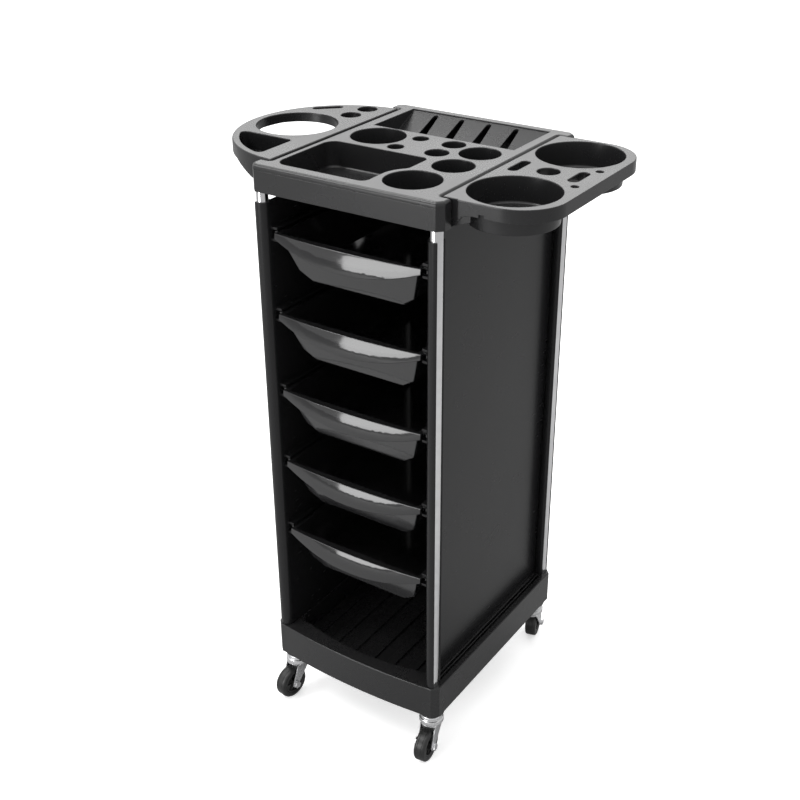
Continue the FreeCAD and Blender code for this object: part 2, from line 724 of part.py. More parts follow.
def fork_leg(y0, y1):
    """One tapering leg, wide at the crown and round at the axle."""
    outline = [(-12, 60), (13, 60), (caster_trail + 6.2, 27.2), (caster_trail - 6.2, 23.0)]
    flat = prism([vec(x, y0, z) for x, z in outline], vec(0, y1 - y0, 0))
    eye = cylinder_along_y(caster_trail, wheel_radius, y0, y1, 6.5)
    return flat.fuse(eye)


def caster_fork():
    crown = cylinder(0, 0, 57.5, 60, 18.0)
    legs = [fork_leg(s * 12.8 if s < 0 else 11.0, s * 11.0 if s < 0 else 12.8) for s in (-1, 1)]
    fork = fuse([crown] + legs)
    fork = fork.cut(cylinder(0, 0, 50, 80, 3.95))
    return fork.cut(cylinder_along_y(caster_trail, wheel_radius, -20, 20, 3.0)).removeSplitter()


def caster_hub():
    hub = cylinder_along_y(caster_trail, wheel_radius, -8.0, 8.0, 17.0)
    for s in (-1, 1):
        y0, y1 = sorted((s * 5.0, s * 9.0))
        dish = cylinder_along_y(caster_trail, wheel_radius, y0, y1, 14.5)
        hub = hub.cut(dish)
    hub = hub.fuse(cylinder_along_y(caster_trail, wheel_radius, -10.6, 10.6, 5.5))
    return hub.cut(cylinder_along_y(caster_trail, wheel_radius, -20, 20, 3.05)).removeSplitter()


def caster_tyre():
    half = wheel_width / 2
    tyre = cylinder_along_y(caster_trail, wheel_radius, -half, half, wheel_radius)
    rims = [e for e in tyre.Edges if abs(e.BoundBox.YMax - e.BoundBox.YMin) < 0.01]
    tyre = tyre.makeFillet(4.5, rims)
    return tyre.cut(cylinder_along_y(caster_trail, wheel_radius, -20, 20, 17.0))


def hexagon(y0, y1, across_flats):
    radius = across_flats / math.sqrt(3)
    points = []
    for i in range(6):
        a = math.radians(60 * i)
        points.append(vec(caster_trail + radius * math.cos(a), y0,
                          wheel_radius + radius * math.sin(a)))
    return prism(points, vec(0, y1 - y0, 0))


def caster_axle():
    """Axle bolt with its hexagon head."""
    shank = cylinder_along_y(caster_trail, wheel_radius, -17.5, 13.0, 3.0)
    return shank.fuse(hexagon(12.8, 16.6, 10.0)).removeSplitter()


def caster_nut():
    nut = hexagon(-16.6, -12.8, 10.0)
    return nut.cut(cylinder_along_y(caster_trail, wheel_radius, -20, 20, 3.0))


# ---------------------------------------------------------------- write every piece
save("top_tray", make_top_tray())
save("base_tray", make_base_tray())
save("left_wing", make_left_wing())
save("right_wing", make_right_wing())
save("left_wing_pins", make_wing_pins(-1))
save("right_wing_pins", make_wing_pins(1))
save("left_side_panel", make_side_panel(-1))
save("right_side_panel", make_side_panel(1))
save("back_panel", make_back_panel())
save("tube_plugs", make_tube_plugs())
save("tube_screws", make_tube_screws())

for sx, sy in corners:
    save("tube_" + corner_name(sx, sy), make_tube(sx, sy))

drawer_shape = make_drawer()
for i in range(drawer_count):
    drawer = drawer_shape.copy()
    drawer.translate(vec(0, 0, rim_height(i)))
    save("drawer_%d" % (i + 1), drawer)

caster_pieces = {
    "stem": caster_stem(),
    "sleeve": caster_sleeve(),
    "cap": caster_cap(),
    "balls": caster_balls(),
    "fork": caster_fork(),
    "hub": caster_hub(),
    "tyre": caster_tyre(),
    "axle": caster_axle(),
    "nut": caster_nut(),
}
for sx, sy in corners:
    for piece, shape in caster_pieces.items():
        save("caster_%s_%s" % (piece, corner_name(sx, sy)), placed_caster(shape, sx, sy))
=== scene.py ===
import math

import bmesh
import bpy
from mathutils import Matrix, Vector


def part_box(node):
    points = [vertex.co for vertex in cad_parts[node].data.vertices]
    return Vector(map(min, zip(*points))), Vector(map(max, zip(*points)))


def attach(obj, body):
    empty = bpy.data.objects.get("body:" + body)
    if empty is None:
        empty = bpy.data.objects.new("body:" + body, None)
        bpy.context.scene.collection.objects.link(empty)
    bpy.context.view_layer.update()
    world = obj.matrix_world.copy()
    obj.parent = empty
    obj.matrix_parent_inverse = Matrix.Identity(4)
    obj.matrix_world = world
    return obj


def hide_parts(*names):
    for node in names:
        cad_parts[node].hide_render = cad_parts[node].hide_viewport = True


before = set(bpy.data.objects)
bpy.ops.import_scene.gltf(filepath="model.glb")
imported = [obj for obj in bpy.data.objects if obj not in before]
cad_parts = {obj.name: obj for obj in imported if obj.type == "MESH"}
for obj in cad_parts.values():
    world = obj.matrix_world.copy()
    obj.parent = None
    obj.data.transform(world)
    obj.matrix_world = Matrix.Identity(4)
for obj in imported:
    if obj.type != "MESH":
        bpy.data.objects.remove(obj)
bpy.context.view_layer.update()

MM = 0.001


# ------------------------------------------------------------ base tray
# The foot of the trolley: one thick injection moulding in black ABS with a bowed front.
# It holds the tubes' lower ends, grips both side panels and the back in narrow channels,
# and carries a caster socket under each corner.
def new_group(name, inputs, outputs):
    """Shader node group with named number, colour or vector sockets."""
    group = bpy.data.node_groups.new(name, "ShaderNodeTree")
    for label, kind, value in inputs:
        socket = group.interface.new_socket(label, in_out="INPUT", socket_type="NodeSocket" + kind)
        socket.default_value = value
    for label, kind in outputs:
        group.interface.new_socket(label, in_out="OUTPUT", socket_type="NodeSocket" + kind)
    return group


def add_node(tree, kind, links=None, **settings):
    """A node with its settings, and its inputs joined to sockets or set to values."""
    node = tree.nodes.new("ShaderNode" + kind)
    for key, value in settings.items():
        setattr(node, key, value)
    for key, source in (links or {}).items():
        if isinstance(source, bpy.types.NodeSocket):
            tree.links.new(source, node.inputs[key])
        else:
            node.inputs[key].default_value = source
    return node


def calc(tree, operation, first, second=0.0, third=0.0, clamp=False):
    """Math node; returns its output."""
    node = add_node(tree, "Math", {0: first, 1: second, 2: third},
                    operation=operation, use_clamp=clamp)
    return node.outputs[0]


def ramp_value(tree, source, low, high):
    """Source mapped from low..high to 0..1, held within those ends."""
    node = add_node(tree, "MapRange", {"Value": source, "From Min": low, "From Max": high})
    return node.outputs[0]


def noise(tree, where, scale, detail=2.0, roughness=0.5):
    """Noise texture at a place; returns its value."""
    node = add_node(tree, "TexNoise", {
        "Vector": where, "Scale": scale, "Detail": detail, "Roughness": roughness})
    return node.outputs["Fac"]


def make_edge_group():
    """Where an edge is worn: 1 on convex edges, broken up by noise, 0 elsewhere."""
    group = new_group("edge wear", [
        ("Vector", "Vector", (0, 0, 0)), ("Width", "Float", 0.0008), ("Amount", "Float", 0.5),
    ], [("Mask", "Float")])
    put_in = group.nodes.new("NodeGroupInput")
    put_out = group.nodes.new("NodeGroupOutput")
    rounded = add_node(group, "Bevel", {"Radius": put_in.outputs["Width"]}, samples=4)
    shape = add_node(group, "NewGeometry")
    product = add_node(group, "VectorMath", {
        0: rounded.outputs[0], 1: shape.outputs["Normal"]}, operation="DOT_PRODUCT")
    bent = calc(group, "SUBTRACT", 1.0, product.outputs["Value"])
    edge = ramp_value(group, bent, 0.01, 0.2)
    patchy = ramp_value(group, noise(group, put_in.outputs["Vector"], 140.0, 4.0, 0.7), 0.35, 0.7)
    mask = calc(group, "MULTIPLY", edge, patchy)
    mask = calc(group, "MULTIPLY", mask, put_in.outputs["Amount"])
    group.links.new(mask, put_out.inputs["Mask"])
    return group


def make_plastic_group(edge_group):
    """Moulded plastic: colour, roughness and surface height with grain, flow marks and scuffs."""
    group = new_group("moulded plastic", [
        ("Vector", "Vector", (0, 0, 0)),
        ("Colour", "Color", (0.02, 0.02, 0.02, 1)),
        ("Worn colour", "Color", (0.07, 0.07, 0.07, 1)),
        ("Roughness", "Float", 0.35),
        ("Roughness spread", "Float", 0.08),
        ("Grain size", "Float", 0.0005),
        ("Grain depth", "Float", 0.3),
        ("Wave depth", "Float", 0.3),
        ("Scuffs", "Float", 0.3),
        ("Edge wear", "Float", 0.4),
        ("Dust", "Float", 0.1),
    ], [("Colour", "Color"), ("Roughness", "Float"), ("Height", "Float")])
    put_in = group.nodes.new("NodeGroupInput")
    put_out = group.nodes.new("NodeGroupOutput")
    where = put_in.outputs["Vector"]
    cloudy = noise(group, where, 9.0, 3.0, 0.55)
    fine = noise(group, where, calc(group, "DIVIDE", 1.0, put_in.outputs["Grain size"]), 2.0, 0.6)
    waves = noise(group, where, 45.0, 1.0, 0.4)
    stretched = add_node(group, "Mapping", {
        "Vector": where, "Rotation": (0.3, 0.2, 0.9), "Scale": (900.0, 60.0, 260.0)})
    streak = ramp_value(group, noise(group, stretched.outputs[0], 1.0, 2.0, 0.6), 0.66, 0.74)
    patch = ramp_value(group, noise(group, where, 22.0, 3.0, 0.6), 0.5, 0.75)
    scuff = calc(group, "MULTIPLY", streak, patch)
    scuff = calc(group, "MULTIPLY", scuff, put_in.outputs["Scuffs"])
    worn = group.nodes.new("ShaderNodeGroup")
    worn.node_tree = edge_group
    group.links.new(where, worn.inputs["Vector"])
    group.links.new(put_in.outputs["Edge wear"], worn.inputs["Amount"])
    shape = add_node(group, "NewGeometry")
    upward = add_node(group, "SeparateXYZ", {0: shape.outputs["Normal"]}).outputs["Z"]
    settled = calc(group, "MULTIPLY", ramp_value(group, upward, 0.6, 1.0),
                   ramp_value(group, noise(group, where, 420.0, 5.0, 0.75), 0.45, 0.8))
    dust = calc(group, "MULTIPLY", settled, put_in.outputs["Dust"])
    half_scuff = calc(group, "MULTIPLY", scuff, 0.5)
    lighten = calc(group, "ADD", half_scuff, worn.outputs["Mask"], clamp=True)
    mixed = add_node(group, "Mix", {
        0: lighten, 6: put_in.outputs["Colour"], 7: put_in.outputs["Worn colour"],
    }, data_type="RGBA")
    dusty = add_node(group, "Mix", {
        0: dust, 6: mixed.outputs[2], 7: (0.32, 0.31, 0.3, 1.0)}, data_type="RGBA")
    group.links.new(dusty.outputs[2], put_out.inputs["Colour"])
    spread = calc(group, "MULTIPLY_ADD", calc(group, "SUBTRACT", cloudy, 0.5),
                  put_in.outputs["Roughness spread"], put_in.outputs["Roughness"])
    rough = calc(group, "ADD", spread, calc(group, "MULTIPLY", scuff, 0.25))
    rough = calc(group, "ADD", rough, calc(group, "MULTIPLY", dust, 0.6), clamp=True)
    group.links.new(rough, put_out.inputs["Roughness"])
    height = calc(group, "MULTIPLY", fine, put_in.outputs["Grain depth"])
    height = calc(group, "MULTIPLY_ADD", waves, put_in.outputs["Wave depth"], height)
    height = calc(group, "MULTIPLY_ADD", scuff, -0.4, height)
    group.links.new(height, put_out.inputs["Height"])
    return group


edge_wear = make_edge_group()
plastic_surface = make_plastic_group(edge_wear)


def finish_material(name, group, values, bump_depth, edge_round=0.0005, **shader):
    """Material with colour, roughness and relief from a surface group, and eased edges."""
    material = bpy.data.materials.new(name)
    material.use_nodes = True
    tree = material.node_tree
    tree.nodes.clear()
    place = add_node(tree, "TexCoord")
    surface = tree.nodes.new("ShaderNodeGroup")
    surface.node_tree = group
    tree.links.new(place.outputs["Object"], surface.inputs["Vector"])
    for key, value in values.items():
        surface.inputs[key].default_value = value
    edges = add_node(tree, "Bevel", {"Radius": edge_round}, samples=4)
    bump = add_node(tree, "Bump", {
        "Height": surface.outputs["Height"], "Strength": 1.0, "Distance": bump_depth,
        "Normal": edges.outputs["Normal"]})
    principled = add_node(tree, "BsdfPrincipled", {
        "Base Color": surface.outputs["Colour"],
        "Roughness": surface.outputs["Roughness"],
        "Normal": bump.outputs["Normal"]})
    for key, value in shader.items():
        principled.inputs[key.replace("_", " ")].default_value = value
    out = tree.nodes.new("ShaderNodeOutputMaterial")
    tree.links.new(principled.outputs[0], out.inputs["Surface"])
    return material


satin_black = finish_material("satin black ABS", plastic_surface, {
    "Colour": (0.011, 0.011, 0.0115, 1), "Worn colour": (0.06, 0.06, 0.06, 1),
    "Roughness": 0.27, "Roughness spread": 0.1, "Grain size": 0.00045, "Grain depth": 0.25,
    "Wave depth": 0.6, "Scuffs": 0.5, "Edge wear": 0.5, "Dust": 0.06,
}, 0.00003, edge_round=0.0011, IOR=1.5, Specular_IOR_Level=0.42)


def plain_mesh(obj):
    """Turn an object's modifiers into its mesh."""
    graph = bpy.context.evaluated_depsgraph_get()
    mesh = bpy.data.meshes.new_from_object(obj.evaluated_get(graph))
    obj.modifiers.clear()
    obj.data = mesh
    return obj


def new_piece(name, mesh, material):
    """An object in the scene with the mesh and a single material."""
    mesh.materials.clear()
    mesh.materials.append(material)
    obj = bpy.data.objects.new(name, mesh)
    bpy.context.scene.collection.objects.link(obj)
    return obj


def smooth_faces(mesh, angle=math.radians(32)):
    """Smooth shading, kept crisp on edges sharper than the angle."""
    bm = bmesh.new()
    bm.from_mesh(mesh)
    for face in bm.faces:
        face.smooth = True
    for edge in bm.edges:
        edge.smooth = len(edge.link_faces) == 2 and edge.calc_face_angle(0) < angle
    bm.to_mesh(mesh)
    bm.free()


weld_gap = 2e-6      # loose corners of a solid's triangles are joined within this


def moulding(node, name, material, body):
    """A moulded or pressed piece in the node's shape, welded and evenly shaded."""
    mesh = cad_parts[node].data.copy()
    bm = bmesh.new()
    bm.from_mesh(mesh)
    bmesh.ops.remove_doubles(bm, verts=bm.verts, dist=weld_gap)
    bm.to_mesh(mesh)
    bm.free()
    for layer in list(mesh.attributes):
        if layer.name == "custom_normal":
            mesh.attributes.remove(layer)
    obj = new_piece(name, mesh, material)
    smooth_faces(obj.data)
    weigh = obj.modifiers.new("even shading", "WEIGHTED_NORMAL")
    weigh.keep_sharp = True
    plain_mesh(obj)
    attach(obj, body)
    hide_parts(node)


moulding("base_tray", "base_moulding", satin_black, "cabinet")

# ------------------------------------------------------------ cabinet tubes
# Four straight corner tubes in bright chromed steel.
# Their lower ends stand in the base and are pulled down by one screw each; the top tray
# is pushed over their upper ends.


def make_metal_group():
    """Plated or bare metal: slight tone changes, wiping marks and fine draw lines."""
    group = new_group("metal", [
        ("Vector", "Vector", (0, 0, 0)),
        ("Colour", "Color", (0.7, 0.7, 0.7, 1)),
        ("Dull colour", "Color", (0.5, 0.5, 0.5, 1)),
        ("Roughness", "Float", 0.1),
        ("Smudges", "Float", 0.1),
        ("Draw lines", "Float", 0.1),
    ], [("Colour", "Color"), ("Roughness", "Float"), ("Height", "Float")])
    put_in = group.nodes.new("NodeGroupInput")
    put_out = group.nodes.new("NodeGroupOutput")
    where = put_in.outputs["Vector"]
    smudge = ramp_value(group, noise(group, where, 60.0, 5.0, 0.65), 0.42, 0.75)
    lines = add_node(group, "Mapping", {"Vector": where, "Scale": (3000.0, 3000.0, 40.0)})
    drawn = noise(group, lines.outputs[0], 1.0, 2.0, 0.5)
    speck = ramp_value(group, noise(group, where, 900.0, 4.0, 0.7), 0.6, 0.75)
    dull = calc(group, "MULTIPLY", calc(group, "ADD", smudge, speck, clamp=True), 0.6)
    mixed = add_node(group, "Mix", {
        0: dull, 6: put_in.outputs["Colour"], 7: put_in.outputs["Dull colour"],
    }, data_type="RGBA")
    group.links.new(mixed.outputs[2], put_out.inputs["Colour"])
    rough = calc(group, "MULTIPLY_ADD", smudge, put_in.outputs["Smudges"],
                 put_in.outputs["Roughness"])
    group.links.new(rough, put_out.inputs["Roughness"])
    height = calc(group, "MULTIPLY", drawn, put_in.outputs["Draw lines"])
    group.links.new(height, put_out.inputs["Height"])
    return group


metal_surface = make_metal_group()
chrome = finish_material("bright chrome", metal_surface, {
    "Colour": (0.86, 0.86, 0.87, 1), "Dull colour": (0.7, 0.7, 0.71, 1),
    "Roughness": 0.1, "Smudges": 0.12, "Draw lines": 0.25,
}, 0.00001, Metallic=1.0)
zinc = finish_material("bright zinc", metal_surface, {
    "Colour": (0.74, 0.74, 0.75, 1), "Dull colour": (0.52, 0.53, 0.54, 1),
    "Roughness": 0.24, "Smudges": 0.2, "Draw lines": 0.15,
}, 0.00002, Metallic=1.0)


def lathe(profile, centre, segments=64):
    """Closed ring-shaped mesh: a profile of (radius, height) turned about an upright axis."""
    bm = bmesh.new()
    rings = []
    for i in range(segments):
        a = 2 * math.pi * i / segments
        rings.append([
            bm.verts.new((centre[0] + r * math.cos(a), centre[1] + r * math.sin(a), z))
            for r, z in profile
        ])
    count = len(profile)
    for i in range(segments):
        here, following = rings[i], rings[(i + 1) % segments]
        for j in range(count):
            k = (j + 1) % count
            bm.faces.new((here[j], following[j], following[k], here[k]))
    bmesh.ops.remove_doubles(bm, verts=bm.verts, dist=1e-7)
    bmesh.ops.recalc_face_normals(bm, faces=bm.faces)
    mesh = bpy.data.meshes.new("turned")
    bm.to_mesh(mesh)
    bm.free()
    return mesh


def place_piece(obj, body, slot, *nodes):
    """A finished piece rides on its body and stands for these nodes."""
    smooth_faces(obj.data)
    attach(obj, body)
    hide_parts(*nodes)


corner_names = ("front_left", "front_right", "rear_left", "rear_right")
tube_wall = 1.0 * MM
tube_roll = 0.6 * MM
for corner in corner_names:
    low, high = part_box("tube_" + corner)
    middle = (low + high) / 2
    outer = (high.x - low.x) / 2
    inner = outer - tube_wall
    z0, z1 = low.z, high.z
    # Outline of the wall, its two ends rolled slightly inwards.
    wall_profile = [
        (outer, z0 + tube_roll), (outer, z1 - 2 * tube_roll),
        (outer - 0.18 * tube_wall, z1 - 0.8 * tube_roll), (outer - 0.5 * tube_wall, z1),
        (inner, z1 - tube_roll), (inner, z0 + tube_roll), (inner + 0.3 * tube_wall, z0),
        (outer - 0.3 * tube_wall, z0),
    ]
    tube = new_piece("chromed_tube_" + corner, lathe(wall_profile, middle), chrome)
    place_piece(tube, "cabinet", "chrome_tube", "tube_" + corner)

moulding("tube_screws", "tube_screws_fixings", zinc, "cabinet")
moulding("tube_plugs", "tube_plugs_fixings", satin_black, "cabinet")

# ------------------------------------------------------------ side panels and back
# Flat black sheets between the tubes. Each side is one moulding with the drawers' runners
# on its inside and a half-round edge that grips the tube at either end.
panel_black = finish_material("black side panel", plastic_surface, {
    "Colour": (0.008, 0.008, 0.0085, 1), "Worn colour": (0.05, 0.05, 0.05, 1),
    "Roughness": 0.26, "Roughness spread": 0.08, "Grain size": 0.0007, "Grain depth": 0.35,
    "Wave depth": 1.2, "Scuffs": 0.6, "Edge wear": 0.4, "Dust": 0.01,
}, 0.00003, IOR=1.48, Specular_IOR_Level=0.3)
for side in ("left", "right"):
    moulding(side + "_side_panel", side + "_panel_moulding", panel_black, "cabinet")
moulding("back_panel", "back_sheet", panel_black, "cabinet")

# ------------------------------------------------------------ drawers
# Five tapered tubs in glossy black plastic, each with a wide rolled rim that slides on the
# runners and a bowed crescent front that serves as the handle.
gloss_black = finish_material("glossy black drawer", plastic_surface, {
    "Colour": (0.009, 0.009, 0.0095, 1), "Worn colour": (0.05, 0.05, 0.05, 1),
    "Roughness": 0.08, "Roughness spread": 0.06, "Grain size": 0.0012, "Grain depth": 0.05,
    "Wave depth": 1.0, "Scuffs": 0.35, "Edge wear": 0.3, "Dust": 0.03,
}, 0.00003, IOR=1.52, Specular_IOR_Level=0.75)
drawer_count = 5
for i in range(1, drawer_count + 1):
    moulding(f"drawer_{i}", f"drawer_tub_{i}", gloss_black, f"drawer_{i}")

# ------------------------------------------------------------ top tray
# The deck over the cabinet: one black ABS moulding with a deep skirt, a comb pocket, round
# cups for bottles and a sloping comb rack at the rear. It sits on the tubes' upper ends.
moulding("top_tray", "tray_moulding", satin_black, "cabinet")

# ------------------------------------------------------------ side wings
# Two fold-down shelves of the same ABS: the left one round with a wide ring, the right one
# with two round cups. Each hangs on steel pins in the tray's corner blocks.
for side in ("left", "right"):
    moulding(side + "_wing", side + "_wing_moulding", satin_black, side + "_wing")
    moulding(side + "_wing_pins", side + "_pins", zinc, "cabinet")

# ------------------------------------------------------------ casters
# Swivel casters with a zinc-plated pressed cap and fork, a grip stem pushed into a plastic
# socket in the base, and a black plastic wheel with a rubber tyre on an axle bolt.
tyre_black = finish_material("tyre rubber", plastic_surface, {
    "Colour": (0.009, 0.009, 0.009, 1), "Worn colour": (0.05, 0.05, 0.048, 1),
    "Roughness": 0.36, "Roughness spread": 0.15, "Grain size": 0.0004, "Grain depth": 0.3,
    "Wave depth": 0.3, "Scuffs": 0.8, "Edge wear": 0.4, "Dust": 0.08,
}, 0.00004)
hub_black = finish_material("wheel plastic", plastic_surface, {
    "Colour": (0.01, 0.01, 0.01, 1), "Worn colour": (0.06, 0.06, 0.06, 1),
    "Roughness": 0.26, "Roughness spread": 0.1, "Grain size": 0.0005, "Grain depth": 0.2,
    "Wave depth": 0.3, "Scuffs": 0.5, "Edge wear": 0.4, "Dust": 0.05,
}, 0.00003)


def ring_tree():
    """Geometry nodes: copies of the piece set round a circle, each turned to face outwards."""
    tree = bpy.data.node_groups.new("ring of pieces", "GeometryNodeTree")
    sockets = {}
    for label, kind in (("Piece", "Geometry"), ("Count", "Int"), ("Radius", "Float"),
                        ("Finish", "Material")):
        sockets[label] = tree.interface.new_socket(
            label, in_out="INPUT", socket_type="NodeSocket" + kind).identifier
    tree.interface.new_socket("Ring", in_out="OUTPUT", socket_type="NodeSocketGeometry")
    put_in = tree.nodes.new("NodeGroupInput")
    put_out = tree.nodes.new("NodeGroupOutput")

    def node(kind, links, **settings):
        made = tree.nodes.new(kind)
        for key, value in settings.items():
            setattr(made, key, value)
        for key, source in links.items():
            if isinstance(source, bpy.types.NodeSocket):
                tree.links.new(source, made.inputs[key])
            else:
                made.inputs[key].default_value = source
        return made

    circle = node("GeometryNodeMeshCircle", {
        "Vertices": put_in.outputs["Count"], "Radius": put_in.outputs["Radius"]})
    step = node("ShaderNodeMath", {0: 2 * math.pi, 1: put_in.outputs["Count"]}, operation="DIVIDE")
    index = node("GeometryNodeInputIndex", {})
    turn = node("ShaderNodeMath", {0: index.outputs[0], 1: step.outputs[0]}, operation="MULTIPLY")
    angles = node("ShaderNodeCombineXYZ", {"Z": turn.outputs[0]})
    placed = node("GeometryNodeInstanceOnPoints", {
        "Points": circle.outputs[0], "Instance": put_in.outputs["Piece"],
        "Rotation": angles.outputs[0]})
    real = node("GeometryNodeRealizeInstances", {0: placed.outputs[0]})
    finished = node("GeometryNodeSetMaterial", {
        "Geometry": real.outputs[0], "Material": put_in.outputs["Finish"]})
    tree.links.new(finished.outputs[0], put_out.inputs[0])
    return tree, sockets


ring_nodes, ring_sockets = ring_tree()


def ring_of(name, mesh, count, radius, material):
    """A plain mesh object of count copies of the mesh round a circle."""
    obj = new_piece(name, mesh, material)
    ring = obj.modifiers.new("ring", "NODES")
    ring.node_group = ring_nodes
    ring[ring_sockets["Count"]] = count
    ring[ring_sockets["Radius"]] = radius
    ring[ring_sockets["Finish"]] = material
    return plain_mesh(obj)


def bar_mesh(x0, x1, half_width, z0, z1):
    """Rib along X that narrows a little towards its top."""
    bm = bmesh.new()
    corners = [
        bm.verts.new((x, y * (half_width if z == z0 else 0.7 * half_width), z))
        for z in (z0, z1) for x, y in ((x0, -1), (x1, -1), (x1, 1), (x0, 1))
    ]
    loops = ((3, 2, 1, 0), (4, 5, 6, 7), (0, 1, 5, 4), (1, 2, 6, 5), (2, 3, 7, 6), (3, 0, 4, 7))
    for loop in loops:
        bm.faces.new([corners[i] for i in loop])
    mesh = bpy.data.meshes.new("bar")
    bm.to_mesh(mesh)
    bm.free()
    return mesh


def ball_mesh(radius):
    """Bearing ball of evenly sized triangles."""
    bm = bmesh.new()
    bmesh.ops.create_icosphere(bm, subdivisions=2, radius=radius)
    mesh = bpy.data.meshes.new("ball")
    bm.to_mesh(mesh)
    bm.free()
    return mesh


def in_metres(profile):
    """A profile given in millimetres, as (radius, height) in metres."""
    return [(radius * MM, height * MM) for radius, height in profile]


def both_halves(profile):
    """A profile of one half of a wheel, carried on over its middle to the other half."""
    return profile + [(radius, -height) for radius, height in reversed(profile)]


# Turned pieces in millimetres. The tyre has a fine groove each side of its tread's middle.
tyre_profile = both_halves(in_metres([
    (17.0, -7.6), (18.4, -9.0), (21.2, -9.0), (23.4, -8.4), (24.6, -6.9), (25.0, -5.2),
    (25.0, -4.2), (24.5, -3.9), (24.5, -3.4), (25.0, -3.1),
]))
hub_profile = both_halves(in_metres([
    (3.05, -10.6), (5.0, -10.6), (5.5, -10.1), (5.7, -5.0), (14.3, -5.2), (14.6, -7.6),
    (15.2, -8.0), (16.4, -8.0), (17.0, -7.4),
]))
cap_profile = in_metres([
    (6.2, 70.6), (13.5, 70.6), (13.5, 60.0), (17.4, 60.0), (18.0, 60.6), (18.0, 65.2),
    (17.6, 66.3), (16.6, 67.0), (15.9, 67.2), (15.5, 67.8), (15.5, 70.1), (15.1, 71.3),
    (14.2, 72.2), (13.0, 72.6), (6.8, 72.6), (6.2, 72.2),
])
hub_segments = 48

fork_trail = 18.0 * MM      # from the swivel's axis to the axle's
fork_leg = 11.9 * MM        # from the middle of the wheel to the middle of a leg's sheet
fork_crown = 58.75 * MM     # height of the crown's sheet
fork_sheet = 1.8 * MM
fork_bend = 4.0 * MM        # radius of the bend between crown and leg
fork_eye = 6.5 * MM         # radius of the legs' rounded lower ends
axle_height = 25.0 * MM
crown_radius = 17.8 * MM
leg_back, leg_front = 12 * MM, 13 * MM   # reach of a leg behind and before the swivel, on top
fork_edge = 0.35 * MM

ball_count, ball_radius = 14, 2.0 * MM
race_radius, race_height = 10.0 * MM, 62.2 * MM
bolt_head_from, bolt_head_to = 12.8 * MM, 16.0 * MM
bolt_across_flats, bolt_dome = 10.0 * MM, 0.5 * MM
rib_count = 6
rib_reach = (5.0 * MM, 15.0 * MM)
rib_half_width = 0.9 * MM
rib_foot, rib_top = 4.4 * MM, 6.8 * MM


def fork_mesh():
    """Pressed fork in its own frame, the wheel trailing along +X: a strip bent over the wheel."""
    eye_steps, leg_steps, bend_steps, across = 9, 8, 4, 8
    rows = []
    for i in range(eye_steps):
        a = math.radians(-85 + i * 10.0)
        half = fork_eye * math.cos(a)
        z = axle_height + fork_eye * math.sin(a)
        rows.append((-fork_leg, z, fork_trail - half, fork_trail + half))
    back, front = fork_trail - fork_eye, fork_trail + fork_eye
    for i in range(1, leg_steps + 1):
        t = i / leg_steps
        z = axle_height + (fork_crown - fork_bend - axle_height) * t
        rows.append((-fork_leg, z, back - (back + leg_back) * t, front - (front - leg_front) * t))
    for i in range(1, bend_steps + 1):
        t = i / bend_steps
        a = math.radians(90 * t)
        y = -fork_leg + fork_bend * (1 - math.cos(a))
        z = fork_crown - fork_bend + fork_bend * math.sin(a)
        disc = math.sqrt(crown_radius ** 2 - y ** 2)
        rows.append((y, z, -leg_back + (leg_back - disc) * t, leg_front + (disc - leg_front) * t))
    for i in range(1, bend_steps + 1):
        y = (-fork_leg + fork_bend) * (1 - i / bend_steps)
        disc = math.sqrt(crown_radius ** 2 - y ** 2)
        rows.append((y, fork_crown, -disc, disc))
    rows += [(-y, z, x0, x1) for y, z, x0, x1 in reversed(rows[:-1])]
    bm = bmesh.new()
    grid = [[bm.verts.new((x0 + (x1 - x0) * j / across, y, z)) for j in range(across + 1)]
            for y, z, x0, x1 in rows]
    for i in range(len(rows) - 1):
        for j in range(across):
            bm.faces.new((grid[i][j], grid[i + 1][j], grid[i + 1][j + 1], grid[i][j + 1]))
    bmesh.ops.recalc_face_normals(bm, faces=bm.faces)
    mesh = bpy.data.meshes.new("fork")
    bm.to_mesh(mesh)
    bm.free()
    return mesh


def stud_mesh(y0, y1, across_flats, dome):
    """Six-sided bolt head along Y with turned-down corners and a low dome."""
    bm = bmesh.new()
    sides, rings = 24, []
    flat = math.pi / 3
    for six_sided, y in ((True, y0), (True, y0 + (y1 - y0) * 0.8), (False, y1)):
        ring = []
        for i in range(sides):
            a = 2 * math.pi * i / sides
            hexagonal = 0.5 * across_flats / math.cos((a + flat / 2) % flat - flat / 2)
            r = hexagonal if six_sided else 0.44 * across_flats
            ring.append(bm.verts.new((r * math.cos(a), y, r * math.sin(a))))
        rings.append(ring)
    for lower, upper in zip(rings, rings[1:]):
        for i in range(sides):
            k = (i + 1) % sides
            bm.faces.new((lower[i], lower[k], upper[k], upper[i]))
    base = bm.verts.new((0, y0, 0))
    tip = bm.verts.new((0, y1 + dome, 0))
    for i in range(sides):
        k = (i + 1) % sides
        bm.faces.new((base, rings[0][k], rings[0][i]))
        bm.faces.new((tip, rings[-1][i], rings[-1][k]))
    bmesh.ops.recalc_face_normals(bm, faces=bm.faces)
    mesh = bpy.data.meshes.new("stud")
    bm.to_mesh(mesh)
    bm.free()
    return mesh


